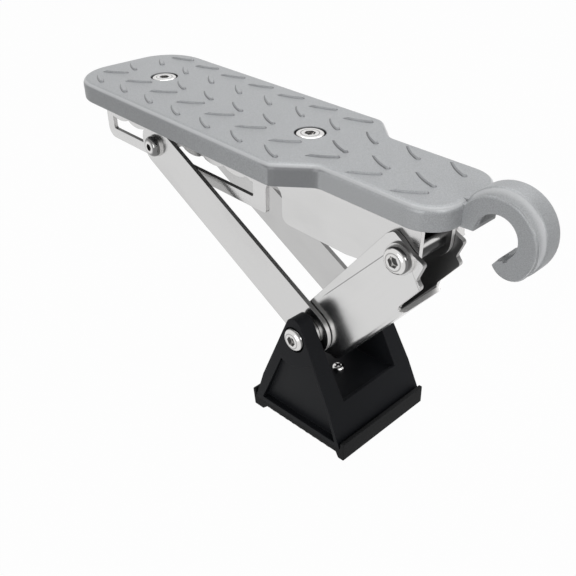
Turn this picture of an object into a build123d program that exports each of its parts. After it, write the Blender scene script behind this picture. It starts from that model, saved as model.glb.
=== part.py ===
from build123d import *
import math
import os

# A folding foot step that hooks onto a door latch striker. Millimetres, Z up.
# The origin is the middle of the hook's bore. The hook points to +X and the tread runs to -X.

os.makedirs("parts", exist_ok=True)

# Fits
RUNNING = 0.05
SIDE_GAP = 0.2
SEAT_GAP = 0.05

# Tread plate
PLATE_TOP = 7.6
PLATE_THICK = 8.7
PLATE_BOTTOM = PLATE_TOP - PLATE_THICK
PLATE_REAR = -214.9
PLATE_FRONT = -12.4
WIDE_HALF = 31.0
NARROW_HALF = 19.6
JOG_REAR = -75.7
JOG_FRONT = -62.7
REAR_CORNER = 20.5
JOG_ROUND = 6.0
FRONT_CORNER = 12.0
TOP_ROUND = 2.5
BOTTOM_ROUND = 0.6

# Raised tread bars, a leaf each
BAR_LENGTH = 13.4
BAR_WIDTH = 3.1
BAR_RISE = 0.85
BAR_SLOPE = 35
BAR_PITCH = 19.2

# Screws that hold the bracket to the plate
REAR_SCREW_X = -180.75
FRONT_SCREW_X = -86.0
RECESS_R = 6.25
RECESS_DEPTH = 3.2
DECK_HEAD_R = 5.8
DECK_HEAD_DOME = 1.1
M6_R = 3.0
M6_HOLE_R = M6_R + RUNNING
M6_HEAD_R = 5.25
M6_HEAD_H = 3.1
HEAD_DOME = 2.4
M6_SOCKET = 4.0
M6_NUT_AF = 10.0
M6_NUT_H = 5.0
M5_R = 2.5
M5_HEAD_R = 4.75
M5_HEAD_H = 2.75
M5_WASHER_R = 5.0
M5_WASHER_H = 1.0
M5_SOCKET = 3.0
M5_NUT_AF = 8.0
M5_NUT_H = 4.6

# Hook
BORE_R = 7.7
HOOK_HALF = 6.2
CHEEK_C = (-0.38, -1.5)
CHEEK_R = 14.6
BAND_C = (0.6, 0.55)
BAND_R = 15.25
BAND_HALF = 3.7
BAND_FOOT = 5.9
BAND_SLOPE = 12.4
BAND_ROOT = 9.2
BAND_SHOULDER = 1.8
BAND_FROM = 165.0
BAND_TO = -49.0
TIP_C = (6.07, -5.76)
TIP_R = 7.0
LUG_TIP = (-7.75, -0.8)
LIP_GROOVE = 0.6
HOOK_ROOT = -24.0
HOOK_ROUND = 0.8

# Sheet metal: bracket, leg and struts
SHEET = 2.0
BEND_OUT = 3.0
BEND_IN = BEND_OUT - SHEET
BRACKET_HALF = 10.2
BRACKET_REAR = -220.0
BRACKET_FRONT = -23.9
BRACKET_BOTTOM = -28.9
LEG_HALF = BRACKET_HALF + SIDE_GAP + SHEET
STRUT_IN = LEG_HALF + 2 * SIDE_GAP
STRUT_OUT = STRUT_IN + SHEET

# Pivots, as (x, z)
LEG_PIVOT = (-29.8, -17.9)
FOOT_PIVOT = (-69.5, -69.5)
STRUT_PIN = (-171.2, -18.9)
STRUT_WIDTH = 20.5
PIN_NECK_R = 1.55
SLEEVE_R = 3.9
WASHER_R = 6.0
WASHER_H = 1.2

# Toothed slots of the bracket
SLOT_REAR = -214.5
SLOT_FRONT = -108.4
SLOT_BOTTOM = -23.9
NOTCH_FIRST = -201.0
NOTCH_PITCH = 14.8
NOTCH_COUNT = 7
NOTCH_TOP = -16.37
NOTCH_HALF = 1.9
SHOULDER = -17.23
TOOTH_TIP = -18.1

# Foot
FOOT_TILT = 5.1
FOOT_WASHER_H = 1.5
CHEEK_IN = STRUT_OUT + SIDE_GAP + FOOT_WASHER_H
CHEEK_OUT = CHEEK_IN + 7.5
FOOT_TOP = 9.5
FOOT_BASE = -41.3
BASE_REACH = 25.7
BASE_FLARE = 2.3
SILL = FOOT_BASE + 15.6
FLOOR = SILL - 1.3
RELIEF = SILL - 4.8
RELIEF_W = 4.3
PANEL_DEEP = 0.8
HEAD_RECESS_R = 5.6
NUT_RECESS_R = 6.0
HEAD_SUNK = 1.5
PLUG_HALF = 15.0
PLUG_DEEP = 8.0
PAD_SOLE = FOOT_BASE - 3.0
PAD_RIM = FOOT_BASE - 5.6
PAD_EAR = FOOT_BASE + 3.1
PAD_HALF = CHEEK_OUT + 2.0
PAD_SCREW_P = 1.4
PAD_SCREW_R = 1.5


def circle_point(centre, radius, degrees):
    a = math.radians(degrees)
    return (centre[0] + radius * math.cos(a), centre[1] + radius * math.sin(a))


def touch_point(centre, radius, inner):
    """Where a large circle meets the smaller circle that touches it from inside."""
    dx = inner[0] - centre[0]
    dz = inner[1] - centre[1]
    d = math.hypot(dx, dz)
    return (centre[0] + radius * dx / d, centre[1] + radius * dz / d)


def low_corners(sketch, x):
    """The corner of a bracket outline at x on its bottom edge. Inside a sketch, Y is the view's height."""
    return [v for v in sketch.vertices() if abs(v.Y - BRACKET_BOTTOM) < 0.01 and abs(v.X - x) < 0.01]


# Side views are drawn looking along +Y, with the sketch's x as X and its y as Z.
SIDE = Plane(origin=(0, 0, 0), x_dir=(1, 0, 0), z_dir=(0, -1, 0))


def screw(seat, head_r, head_h, dome, socket, shank_r, length):
    """A domed screw. The head stands above the seat plane and the shank goes below it."""
    with BuildPart() as body:
        with BuildSketch(seat):
            Circle(head_r)
        extrude(amount=head_h)
        fillet(body.faces().sort_by(Axis((0, 0, 0), tuple(seat.z_dir)))[-1].edges(), dome)
        with BuildSketch(seat.offset(head_h)):
            RegularPolygon(radius=socket / 2, side_count=6, major_radius=False)
        extrude(amount=-0.62 * head_h, mode=Mode.SUBTRACT)
        with BuildSketch(seat):
            Circle(shank_r)
        extrude(amount=-length)
    return body.part


def lock_nut(seat, flats, height, hole_r):
    """A hexagon nut with a collar, standing on the seat plane."""
    with BuildPart() as body:
        with BuildSketch(seat):
            RegularPolygon(radius=flats / 2, side_count=6, major_radius=False)
        extrude(amount=0.75 * height)
        with BuildSketch(seat.offset(0.75 * height)):
            Circle(0.46 * flats)
        extrude(amount=0.25 * height)
        with BuildSketch(seat):
            Circle(hole_r)
        extrude(amount=height, mode=Mode.SUBTRACT)
    return body.part


def ring(seat, outer, inner, height):
    with BuildPart() as body:
        with BuildSketch(seat):
            Circle(outer)
            Circle(inner, mode=Mode.SUBTRACT)
        extrude(amount=height)
    return body.part


def across(point, y, away):
    """A plane square to Y at (x, z), facing -Y when away is -1 and +Y when it is 1."""
    return Plane(origin=(point[0], y, point[1]), x_dir=(1, 0, 0), z_dir=(0, away, 0))


# Tread plate with its hook
with BuildPart() as step_plate:
    with BuildSketch(Plane.XY.offset(PLATE_BOTTOM)) as outline:
        with BuildLine():
            Polyline(
                (PLATE_REAR, -WIDE_HALF),
                (JOG_REAR, -WIDE_HALF),
                (JOG_FRONT, -NARROW_HALF),
                (PLATE_FRONT, -NARROW_HALF),
                (PLATE_FRONT, NARROW_HALF),
                (JOG_FRONT, NARROW_HALF),
                (JOG_REAR, WIDE_HALF),
                (PLATE_REAR, WIDE_HALF),
                close=True,
            )
        make_face()
        for corner_x, corner_r in (
            (PLATE_REAR, REAR_CORNER),
            (JOG_REAR, JOG_ROUND),
            (JOG_FRONT, JOG_ROUND),
            (PLATE_FRONT, FRONT_CORNER),
        ):
            fillet([v for v in outline.vertices() if abs(v.X - corner_x) < 0.01], corner_r)
    extrude(amount=PLATE_THICK)
    fillet(step_plate.faces().sort_by(Axis.Z)[-1].edges(), TOP_ROUND)
    fillet(step_plate.faces().sort_by(Axis.Z)[0].edges(), BOTTOM_ROUND)

    # Cheeks of the hook
    cheek_start = (PLATE_FRONT, CHEEK_C[1] + math.sqrt(CHEEK_R**2 - (PLATE_FRONT - CHEEK_C[0]) ** 2))
    cheek_end = touch_point(CHEEK_C, CHEEK_R, TIP_C)
    bore_start = circle_point((0, 0), BORE_R, 172)
    groove_start = circle_point((0, 0), BORE_R + LIP_GROOVE, -48)
    groove_end = circle_point((0, 0), BORE_R + LIP_GROOVE, -60)
    lip_start = circle_point((0, 0), BORE_R, -62)
    lip_end = circle_point((0, 0), BORE_R, -77)
    nose = circle_point(TIP_C, TIP_R, 214.4)
    with BuildSketch(SIDE.offset(-HOOK_HALF)) as cheeks:
        with BuildLine():
            Polyline(
                (HOOK_ROOT, cheek_start[1]),
                (HOOK_ROOT, PLATE_BOTTOM + 0.5),
                (PLATE_FRONT - 1.0, PLATE_BOTTOM + 0.5),
                (PLATE_FRONT, PLATE_BOTTOM),
                LUG_TIP,
                bore_start,
            )
            ThreePointArc(bore_start, circle_point((0, 0), BORE_R, 50), circle_point((0, 0), BORE_R, -46))
            Line(circle_point((0, 0), BORE_R, -46), groove_start)
            ThreePointArc(groove_start, circle_point((0, 0), BORE_R + LIP_GROOVE, -54), groove_end)
            Line(groove_end, lip_start)
            ThreePointArc(lip_start, circle_point((0, 0), BORE_R, -70), lip_end)
            Line(lip_end, nose)
            ThreePointArc(nose, circle_point(TIP_C, TIP_R, 270), cheek_end)
            ThreePointArc(cheek_end, circle_point(CHEEK_C, CHEEK_R, 60), cheek_start)
            Line(cheek_start, (HOOK_ROOT, cheek_start[1]))
        make_face()
    extrude(amount=2 * HOOK_HALF)
    arcs = step_plate.edges().filter_by(GeomType.CIRCLE)
    rims = [e for e in arcs if abs(abs(e.center().Y) - HOOK_HALF) < 0.01]
    fillet([e for e in rims if abs(e.radius - CHEEK_R) < 0.01 or abs(e.radius - TIP_R) < 0.01], HOOK_ROUND)

    # Raised middle band of the hook: one rounded section turned about the band's own centre
    band_a = math.radians(BAND_FROM)
    band_plane = Plane(
        origin=(BAND_C[0], 0, BAND_C[1]),
        x_dir=(math.cos(band_a), 0, math.sin(band_a)),
        z_dir=(-math.sin(band_a), 0, math.cos(band_a)),
    )
    with BuildSketch(band_plane) as band:
        with BuildLine():
            Polyline(
                (BAND_ROOT, -BAND_FOOT),
                (BAND_SLOPE, -BAND_FOOT),
                (BAND_R, -BAND_HALF),
                (BAND_R, BAND_HALF),
                (BAND_SLOPE, BAND_FOOT),
                (BAND_ROOT, BAND_FOOT),
                close=True,
            )
        make_face()
        fillet([v for v in band.vertices() if abs(abs(v.Y) - BAND_HALF) < 0.01], BAND_SHOULDER)
    band_axis = Axis((BAND_C[0], 0, BAND_C[1]), (0, 1, 0))
    revolve(axis=band_axis, revolution_arc=BAND_FROM - BAND_TO)
    band_start_x = BAND_C[0] - math.sqrt(BAND_R**2 - (PLATE_TOP - BAND_C[1]) ** 2)
    with BuildSketch(SIDE.offset(-BAND_HALF)):
        with BuildLine():
            Polyline(
                (HOOK_ROOT, PLATE_TOP),
                (band_start_x, PLATE_TOP),
                (band_start_x, 2.0),
                (HOOK_ROOT, 2.0),
                close=True,
            )
        make_face()
    extrude(amount=2 * BAND_HALF)

    # Sunk screw seats and their through holes
    with Locations((REAR_SCREW_X, 0, PLATE_TOP), (FRONT_SCREW_X, 0, PLATE_TOP)):
        CounterBoreHole(M6_HOLE_R, RECESS_R, RECESS_DEPTH, depth=20)

    # Tread bars, leaf-shaped, in five rows
    half = BAR_LENGTH / 2
    for row_y, turn, first_x, count, skipped in (
        (22.4, 25, PLATE_REAR + 17.6, 7, ()),
        (12.6, -31, PLATE_REAR + 13.9, 10, ()),
        (-2.0, -22, PLATE_REAR + 11.3, 10, (1, 6)),
        (-13.1, 40, PLATE_REAR + 13.3, 10, ()),
        (-23.0, -22, PLATE_REAR + 16.3, 7, ()),
    ):
        for i in range(count):
            if i in skipped:
                continue
            spot = Plane(origin=(first_x + i * BAR_PITCH, row_y, PLATE_TOP - 0.2))
            with BuildSketch(spot.rotated((0, 0, turn))):
                with BuildLine():
                    ThreePointArc((-half, 0), (0, -BAR_WIDTH * 0.44), (half - 1.2, -BAR_WIDTH * 0.4))
                    ThreePointArc((half - 1.2, -BAR_WIDTH * 0.4), (half, 0), (half - 1.2, BAR_WIDTH * 0.4))
                    ThreePointArc((half - 1.2, BAR_WIDTH * 0.4), (0, BAR_WIDTH * 0.44), (-half, 0))
                make_face()
            extrude(amount=BAR_RISE + 0.2, taper=BAR_SLOPE)

step_plate.part.label = "step_plate"
export_step(step_plate.part, "parts/step_plate.step")


# Bracket: a folded channel with toothed slots, a relief notch and the pivot ears
with BuildPart() as support_bracket:
    with BuildSketch(Plane.YZ.offset(BRACKET_REAR)) as channel:
        with BuildLine():
            Polyline(
                (-BRACKET_HALF, BRACKET_BOTTOM),
                (-BRACKET_HALF, PLATE_BOTTOM),
                (BRACKET_HALF, PLATE_BOTTOM),
                (BRACKET_HALF, BRACKET_BOTTOM),
                (BRACKET_HALF - SHEET, BRACKET_BOTTOM),
                (BRACKET_HALF - SHEET, PLATE_BOTTOM - SHEET),
                (SHEET - BRACKET_HALF, PLATE_BOTTOM - SHEET),
                (SHEET - BRACKET_HALF, BRACKET_BOTTOM),
                close=True,
            )
        make_face()
        fillet([v for v in channel.vertices() if abs(v.Y - PLATE_BOTTOM) < 0.01], BEND_OUT)
        fillet([v for v in channel.vertices() if abs(v.Y - PLATE_BOTTOM + SHEET) < 0.01], BEND_IN)
    extrude(amount=BRACKET_FRONT - BRACKET_REAR + 4.0)

    # Side outline of the flanges
    ear_r = 8.0
    ear = (BRACKET_FRONT - ear_r, LEG_PIVOT[1])
    ear_foot = circle_point(ear, ear_r, -100)
    with BuildSketch(SIDE.offset(-BRACKET_HALF - 1)) as flange:
        with BuildLine():
            Polyline(
                (BRACKET_FRONT, LEG_PIVOT[1]),
                (BRACKET_FRONT, PLATE_BOTTOM + 1),
                (BRACKET_REAR, PLATE_BOTTOM + 1),
                (BRACKET_REAR, BRACKET_BOTTOM),
                (-100.5, BRACKET_BOTTOM),
                (-100.5, -18.65),
            )
            ThreePointArc((-100.5, -18.65), (-95.75, -13.9), (-91.0, -18.65))
            Polyline((-91.0, -18.65), (-91.0, BRACKET_BOTTOM), (-56.0, BRACKET_BOTTOM), ear_foot)
            ThreePointArc(ear_foot, circle_point(ear, ear_r, -50), (BRACKET_FRONT, LEG_PIVOT[1]))
        make_face()
        fillet(low_corners(flange, BRACKET_REAR), 5.0)
        fillet(low_corners(flange, -91.0), 4.0)
        fillet(low_corners(flange, -100.5), 1.5)
    extrude(amount=2 * BRACKET_HALF + 2, mode=Mode.INTERSECT)

    # Toothed slots through both flanges
    with BuildSketch(SIDE.offset(-BRACKET_HALF - 1)) as slot:
        with BuildLine():
            last = NOTCH_FIRST + (NOTCH_COUNT - 1) * NOTCH_PITCH
            Polyline(
                (SLOT_REAR, SHOULDER),
                (SLOT_REAR, SLOT_BOTTOM),
                (SLOT_FRONT, SLOT_BOTTOM),
                (SLOT_FRONT, SHOULDER),
                (last + NOTCH_HALF, SHOULDER),
            )
            for i in range(NOTCH_COUNT):
                x = last - i * NOTCH_PITCH
                ThreePointArc((x + NOTCH_HALF, SHOULDER), (x, NOTCH_TOP), (x - NOTCH_HALF, SHOULDER))
                if i < NOTCH_COUNT - 1:
                    ThreePointArc(
                        (x - NOTCH_HALF, SHOULDER),
                        (x - NOTCH_PITCH / 2, TOOTH_TIP),
                        (x - NOTCH_PITCH + NOTCH_HALF, SHOULDER),
                    )
            ThreePointArc(
                (NOTCH_FIRST - NOTCH_HALF, SHOULDER),
                (NOTCH_FIRST - NOTCH_PITCH / 2, TOOTH_TIP),
                (SLOT_REAR, SHOULDER),
            )
        make_face()
        fillet([v for v in slot.vertices() if abs(v.Y - SLOT_BOTTOM) < 0.01], 1.0)
    extrude(amount=2 * BRACKET_HALF + 2, mode=Mode.SUBTRACT)

    with BuildSketch(across(LEG_PIVOT, -BRACKET_HALF - 1, 1)):
        Circle(M6_HOLE_R)
    extrude(amount=2 * BRACKET_HALF + 2, mode=Mode.SUBTRACT)
    with Locations((REAR_SCREW_X, 0, PLATE_BOTTOM), (FRONT_SCREW_X, 0, PLATE_BOTTOM)):
        Hole(M6_HOLE_R, depth=SHEET + 1)

support_bracket.part.label = "support_bracket"
export_step(support_bracket.part, "parts/support_bracket.step")


# Screws and nuts that clamp the plate to the bracket
screw_seat = PLATE_TOP - RECESS_DEPTH
nut_seat = PLATE_BOTTOM - SHEET
for name, x in (("rear", REAR_SCREW_X), ("front", FRONT_SCREW_X)):
    seat = Plane(origin=(x, 0, screw_seat), x_dir=(1, 0, 0), z_dir=(0, 0, 1))
    reach = screw_seat - nut_seat + M6_NUT_H + 1.0
    held = screw(seat, DECK_HEAD_R, M6_HEAD_H, DECK_HEAD_DOME, M6_SOCKET, M6_R, reach)
    held.label = name + "_bracket_screw"
    export_step(held, "parts/" + name + "_bracket_screw.step")
    under = Plane(origin=(x, 0, nut_seat), x_dir=(1, 0, 0), z_dir=(0, 0, -1))
    nut = lock_nut(under, M6_NUT_AF, M6_NUT_H, M6_HOLE_R)
    nut.label = name + "_bracket_nut"
    export_step(nut, "parts/" + name + "_bracket_nut.step")


# Leg: a folded channel, drawn along its own line from the leg pivot
leg_dx = LEG_PIVOT[0] - FOOT_PIVOT[0]
leg_dz = LEG_PIVOT[1] - FOOT_PIVOT[1]
LEG_LENGTH = math.hypot(leg_dx, leg_dz)
ALONG = (leg_dx / LEG_LENGTH, 0, leg_dz / LEG_LENGTH)
LEG_FREE = -9.7
LEG_WEB = 16.2
LEG_CUT = -15.5
LEG_WEB_END = -65.4
LEG_CORNERS = (
    ((1.4, LEG_FREE), 2.5),
    ((4.9, -8.4), 1.5),
    ((7.1, 7.2), 1.5),
    ((0.3, 9.3), 1.0),
    ((-0.4, 12.8), 1.6),
)
leg_side = Plane(origin=(LEG_PIVOT[0], 0, LEG_PIVOT[1]), x_dir=ALONG, z_dir=(0, 1, 0))
leg_section = Plane(origin=(LEG_PIVOT[0], 0, LEG_PIVOT[1]), x_dir=(0, 1, 0), z_dir=ALONG)
with BuildPart() as leg_channel:
    # The section's y runs along the cross product of its z and x, which points away from the web
    side_sign = 1 if leg_section.y_dir.dot(leg_side.y_dir) > 0 else -1
    with BuildSketch(leg_section.offset(-LEG_LENGTH - 12)) as channel:
        with BuildLine():
            Polyline(
                (-LEG_HALF, side_sign * LEG_FREE),
                (-LEG_HALF, side_sign * LEG_WEB),
                (LEG_HALF, side_sign * LEG_WEB),
                (LEG_HALF, side_sign * LEG_FREE),
                (LEG_HALF - SHEET, side_sign * LEG_FREE),
                (LEG_HALF - SHEET, side_sign * (LEG_WEB - SHEET)),
                (SHEET - LEG_HALF, side_sign * (LEG_WEB - SHEET)),
                (SHEET - LEG_HALF, side_sign * LEG_FREE),
                close=True,
            )
        make_face()
        fillet([v for v in channel.vertices() if abs(abs(v.Y) - LEG_WEB) < 0.01], BEND_OUT)
        fillet([v for v in channel.vertices() if abs(abs(v.Y) - LEG_WEB + SHEET) < 0.01], BEND_IN)
    extrude(amount=LEG_LENGTH + 30)

    end_r = -LEG_FREE
    with BuildSketch(leg_side.offset(-LEG_HALF - 1)) as flange:
        with BuildLine():
            Polyline(
                (-LEG_LENGTH, LEG_FREE),
                (1.4, LEG_FREE),
                (4.9, -8.4),
                (5.4, -4.4),
                (5.4, 0.9),
                (7.1, 7.2),
                (0.3, 9.3),
                (-0.4, 12.8),
                (-14.5, 13.1),
                (LEG_CUT - 0.7, 14.0),
                (LEG_CUT + 0.5, LEG_WEB + 1),
                (LEG_WEB_END, LEG_WEB + 1),
                (LEG_WEB_END, 13.0),
                (-LEG_LENGTH - 7.2, 6.5),
            )
            ThreePointArc((-LEG_LENGTH - 7.2, 6.5), (-LEG_LENGTH - end_r, 0), (-LEG_LENGTH, LEG_FREE))
        make_face()
        for corner, corner_r in LEG_CORNERS:
            near = [v for v in flange.vertices() if math.hypot(v.X - corner[0], v.Y - corner[1]) < 0.01]
            fillet(near, corner_r)
    extrude(amount=2 * LEG_HALF + 2, mode=Mode.INTERSECT)
    for point in (LEG_PIVOT, FOOT_PIVOT):
        with BuildSketch(across(point, -LEG_HALF - 1, 1)):
            Circle(M6_HOLE_R)
        extrude(amount=2 * LEG_HALF + 2, mode=Mode.SUBTRACT)

leg_channel.part.label = "leg_channel"
export_step(leg_channel.part, "parts/leg_channel.step")


# Struts, one on each side
strut_dx = STRUT_PIN[0] - FOOT_PIVOT[0]
strut_dz = STRUT_PIN[1] - FOOT_PIVOT[1]
STRUT_LENGTH = math.hypot(strut_dx, strut_dz)
for name, y in (("near", -STRUT_OUT), ("far", STRUT_IN)):
    middle = Plane(
        origin=((STRUT_PIN[0] + FOOT_PIVOT[0]) / 2, y, (STRUT_PIN[1] + FOOT_PIVOT[1]) / 2),
        x_dir=(strut_dx / STRUT_LENGTH, 0, strut_dz / STRUT_LENGTH),
        z_dir=(0, 1, 0),
    )
    with BuildPart() as strut:
        with BuildSketch(middle):
            SlotCenterToCenter(STRUT_LENGTH, STRUT_WIDTH)
            with Locations((STRUT_LENGTH / 2, 0)):
                Circle(M5_R + RUNNING, mode=Mode.SUBTRACT)
            with Locations((-STRUT_LENGTH / 2, 0)):
                Circle(M6_HOLE_R, mode=Mode.SUBTRACT)
        extrude(amount=SHEET)
    strut.part.label = name + "_strut"
    export_step(strut.part, "parts/" + name + "_strut.step")


# Pin that slides in the toothed slots. It is thin where it crosses the bracket.
NECK_HALF = BRACKET_HALF + 0.15
PIN_SEAT = STRUT_OUT + M5_WASHER_H
with BuildPart() as strut_pin:
    head_seat = across(STRUT_PIN, -PIN_SEAT, -1)
    add(screw(head_seat, M5_HEAD_R, M5_HEAD_H, HEAD_DOME * 0.9, M5_SOCKET, M5_R, PIN_SEAT - NECK_HALF))
    with BuildSketch(across(STRUT_PIN, -NECK_HALF, 1)):
        Circle(PIN_NECK_R)
    extrude(amount=2 * NECK_HALF)
    with BuildSketch(across(STRUT_PIN, NECK_HALF, 1)):
        Circle(M5_R)
    extrude(amount=PIN_SEAT - NECK_HALF + M5_NUT_H + 0.8)
strut_pin.part.label = "strut_pin"
export_step(strut_pin.part, "parts/strut_pin.step")

near_washer = ring(across(STRUT_PIN, -STRUT_OUT, -1), M5_WASHER_R, M5_R + RUNNING, M5_WASHER_H)
far_washer = ring(across(STRUT_PIN, STRUT_OUT, 1), M5_WASHER_R, M5_R + RUNNING, M5_WASHER_H)
strut_pin_washers = Compound(label="strut_pin_washers", children=[near_washer, far_washer])
export_step(strut_pin_washers, "parts/strut_pin_washers.step")

pin_nut = lock_nut(across(STRUT_PIN, PIN_SEAT, 1), M5_NUT_AF, M5_NUT_H, M5_R + RUNNING)
pin_nut.label = "strut_pin_nut"
export_step(pin_nut, "parts/strut_pin_nut.step")

spacer_in = BRACKET_HALF + SIDE_GAP
near_spacer = ring(across(STRUT_PIN, -spacer_in, -1), 4.5, M5_R + RUNNING, STRUT_IN - spacer_in)
far_spacer = ring(across(STRUT_PIN, spacer_in, 1), 4.5, M5_R + RUNNING, STRUT_IN - spacer_in)
strut_pin_spacers = Compound(label="strut_pin_spacers", children=[near_spacer, far_spacer])
export_step(strut_pin_spacers, "parts/strut_pin_spacers.step")


# Leg pivot: bolt, nut, washers and the sleeve between the bracket's ears
leg_head = LEG_HALF + WASHER_H
leg_seat = across(LEG_PIVOT, -leg_head, -1)
leg_reach = 2 * leg_head + M6_NUT_H + 1.0
leg_bolt = screw(leg_seat, M6_HEAD_R, 2.8, HEAD_DOME * 0.9, M6_SOCKET, M6_R, leg_reach)
leg_bolt.label = "leg_pivot_bolt"
export_step(leg_bolt, "parts/leg_pivot_bolt.step")
leg_nut = lock_nut(across(LEG_PIVOT, leg_head, 1), M6_NUT_AF, M6_NUT_H, M6_HOLE_R)
leg_nut.label = "leg_pivot_nut"
export_step(leg_nut, "parts/leg_pivot_nut.step")
near_washer = ring(across(LEG_PIVOT, -LEG_HALF, -1), WASHER_R, M6_HOLE_R, WASHER_H)
far_washer = ring(across(LEG_PIVOT, LEG_HALF, 1), WASHER_R, M6_HOLE_R, WASHER_H)
leg_washers = Compound(label="leg_pivot_washers", children=[near_washer, far_washer])
export_step(leg_washers, "parts/leg_pivot_washers.step")
sleeve_half = BRACKET_HALF - SHEET - SEAT_GAP
leg_sleeve = ring(across(LEG_PIVOT, -sleeve_half, 1), SLEEVE_R, M6_HOLE_R, 2 * sleeve_half)
leg_sleeve.label = "leg_pivot_sleeve"
export_step(leg_sleeve, "parts/leg_pivot_sleeve.step")


# Foot, drawn in its own frame: p along the sole, q up, tilted as it stands
tilt = math.radians(FOOT_TILT)
FOOT_ALONG = (math.cos(tilt), 0, math.sin(tilt))
FOOT_UP = (-math.sin(tilt), 0, math.cos(tilt))
foot_side = Plane(origin=(FOOT_PIVOT[0], 0, FOOT_PIVOT[1]), x_dir=FOOT_ALONG, z_dir=(0, -1, 0))
foot_front = Plane(origin=(FOOT_PIVOT[0], 0, FOOT_PIVOT[1]), x_dir=(0, 1, 0), z_dir=FOOT_ALONG)
foot_plan = Plane(origin=(FOOT_PIVOT[0], 0, FOOT_PIVOT[1]), x_dir=FOOT_ALONG, z_dir=FOOT_UP)
HEAD_SEAT = CHEEK_OUT - HEAD_SUNK
NUT_SEAT = CHEEK_OUT - M6_NUT_H
with BuildPart() as foot_block:
    with BuildSketch(foot_side.offset(-30)) as wedge:
        with BuildLine():
            Polyline(
                (-BASE_REACH, FOOT_BASE),
                (5.4 - BASE_REACH, FOOT_BASE + 14.8),
                (-2.8, FOOT_TOP),
                (2.8, FOOT_TOP),
                (BASE_REACH - 5.4, FOOT_BASE + 14.8),
                (BASE_REACH, FOOT_BASE),
                close=True,
            )
        make_face()
        fillet([v for v in wedge.vertices() if abs(v.Y - FOOT_TOP) < 0.01], 4.3)
    extrude(amount=60)
    flare_base = CHEEK_OUT + BASE_FLARE
    flare_top = CHEEK_OUT + BASE_FLARE * FOOT_TOP / FOOT_BASE
    with BuildSketch(foot_front.offset(-30)):
        with BuildLine():
            Polyline(
                (-flare_base, FOOT_BASE),
                (-flare_top, FOOT_TOP + 1),
                (flare_top, FOOT_TOP + 1),
                (flare_base, FOOT_BASE),
                close=True,
            )
        make_face()
    extrude(amount=60, mode=Mode.INTERSECT)

    # Space between the cheeks: open above the sills, and a little deeper in the middle
    with BuildSketch(foot_plan.offset(SILL)):
        Rectangle(60, 2 * CHEEK_IN)
    extrude(amount=60, mode=Mode.SUBTRACT)
    with BuildSketch(foot_plan.offset(FLOOR)):
        Rectangle(36.5, 2 * CHEEK_IN)
    extrude(amount=5, mode=Mode.SUBTRACT)

    # Two pockets in the back sill that the strut ends turn into as the leg folds
    with BuildSketch(foot_plan.offset(RELIEF)):
        with Locations((-24.0, -CHEEK_IN + RELIEF_W / 2), (-24.0, CHEEK_IN - RELIEF_W / 2)):
            Rectangle(28.0, RELIEF_W)
    extrude(amount=10, mode=Mode.SUBTRACT)

    # Sunk panels on the outside of the cheeks
    panel_y = CHEEK_OUT - PANEL_DEEP
    for away in (-1, 1):
        with BuildSketch(foot_side.offset(panel_y if away < 0 else -panel_y - 6)) as panel:
            with BuildLine():
                low = FOOT_BASE + 1.9
                mid = FOOT_BASE + 14.8
                Polyline((-8.1, -12.6), (-14.7, mid), (-21.1, low), (23.0, low), (18.4, mid), (9.5, -8.0))
                ThreePointArc((9.5, -8.0), (2.0, -12.6), (-8.1, -12.6))
            make_face()
        extrude(amount=6, mode=Mode.SUBTRACT)

    # Pivot bore with a sunk seat on each side
    with BuildSketch(across(FOOT_PIVOT, -30, 1)):
        Circle(M6_HOLE_R)
    extrude(amount=60, mode=Mode.SUBTRACT)
    with BuildSketch(across(FOOT_PIVOT, -HEAD_SEAT, -1)):
        Circle(HEAD_RECESS_R)
    extrude(amount=10, mode=Mode.SUBTRACT)
    with BuildSketch(across(FOOT_PIVOT, NUT_SEAT, 1)):
        Circle(NUT_RECESS_R)
    extrude(amount=10, mode=Mode.SUBTRACT)

    # Pocket under the base for the pad's plug, and the screw hole down to it
    with BuildSketch(foot_plan.offset(FOOT_BASE)):
        Rectangle(2 * PLUG_HALF, 2 * PLUG_HALF)
    extrude(amount=PLUG_DEEP, mode=Mode.SUBTRACT)
    with BuildSketch(foot_plan.offset(FOOT_BASE)):
        with Locations((PAD_SCREW_P, 0)):
            Circle(PAD_SCREW_R + RUNNING)
    extrude(amount=20, mode=Mode.SUBTRACT)

foot_block.part.label = "foot_block"
export_step(foot_block.part, "parts/foot_block.step")


# Rubber pad, with a plug that fills the pocket
PLUG_FIT = 0.1
with BuildPart() as foot_pad:
    with BuildSketch(foot_side.offset(-PAD_HALF)):
        with BuildLine():
            Polyline(
                (-BASE_REACH - 1.9, PAD_RIM),
                (3.7 - BASE_REACH, PAD_RIM),
                (6.7 - BASE_REACH, PAD_SOLE),
                (BASE_REACH - 2.4, PAD_SOLE),
                (BASE_REACH - 1.1, PAD_RIM),
                (BASE_REACH + 1.9, PAD_RIM),
                (BASE_REACH + 2.3, PAD_EAR),
                (BASE_REACH + 0.6, PAD_EAR),
                (BASE_REACH + 0.2, FOOT_BASE),
                (-BASE_REACH - 0.2, FOOT_BASE),
                (-BASE_REACH - 0.6, PAD_EAR),
                (-BASE_REACH - 2.3, PAD_EAR),
                close=True,
            )
        make_face()
    extrude(amount=2 * PAD_HALF)
    with BuildSketch(foot_plan.offset(FOOT_BASE)):
        Rectangle(2 * (PLUG_HALF - PLUG_FIT), 2 * (PLUG_HALF - PLUG_FIT))
    extrude(amount=PLUG_DEEP)
    with BuildSketch(foot_plan.offset(FOOT_BASE + PLUG_DEEP)):
        with Locations((PAD_SCREW_P, 0)):
            Circle(PAD_SCREW_R + RUNNING)
    extrude(amount=-8.5, mode=Mode.SUBTRACT)
foot_pad.part.label = "foot_pad"
export_step(foot_pad.part, "parts/foot_pad.step")

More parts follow.
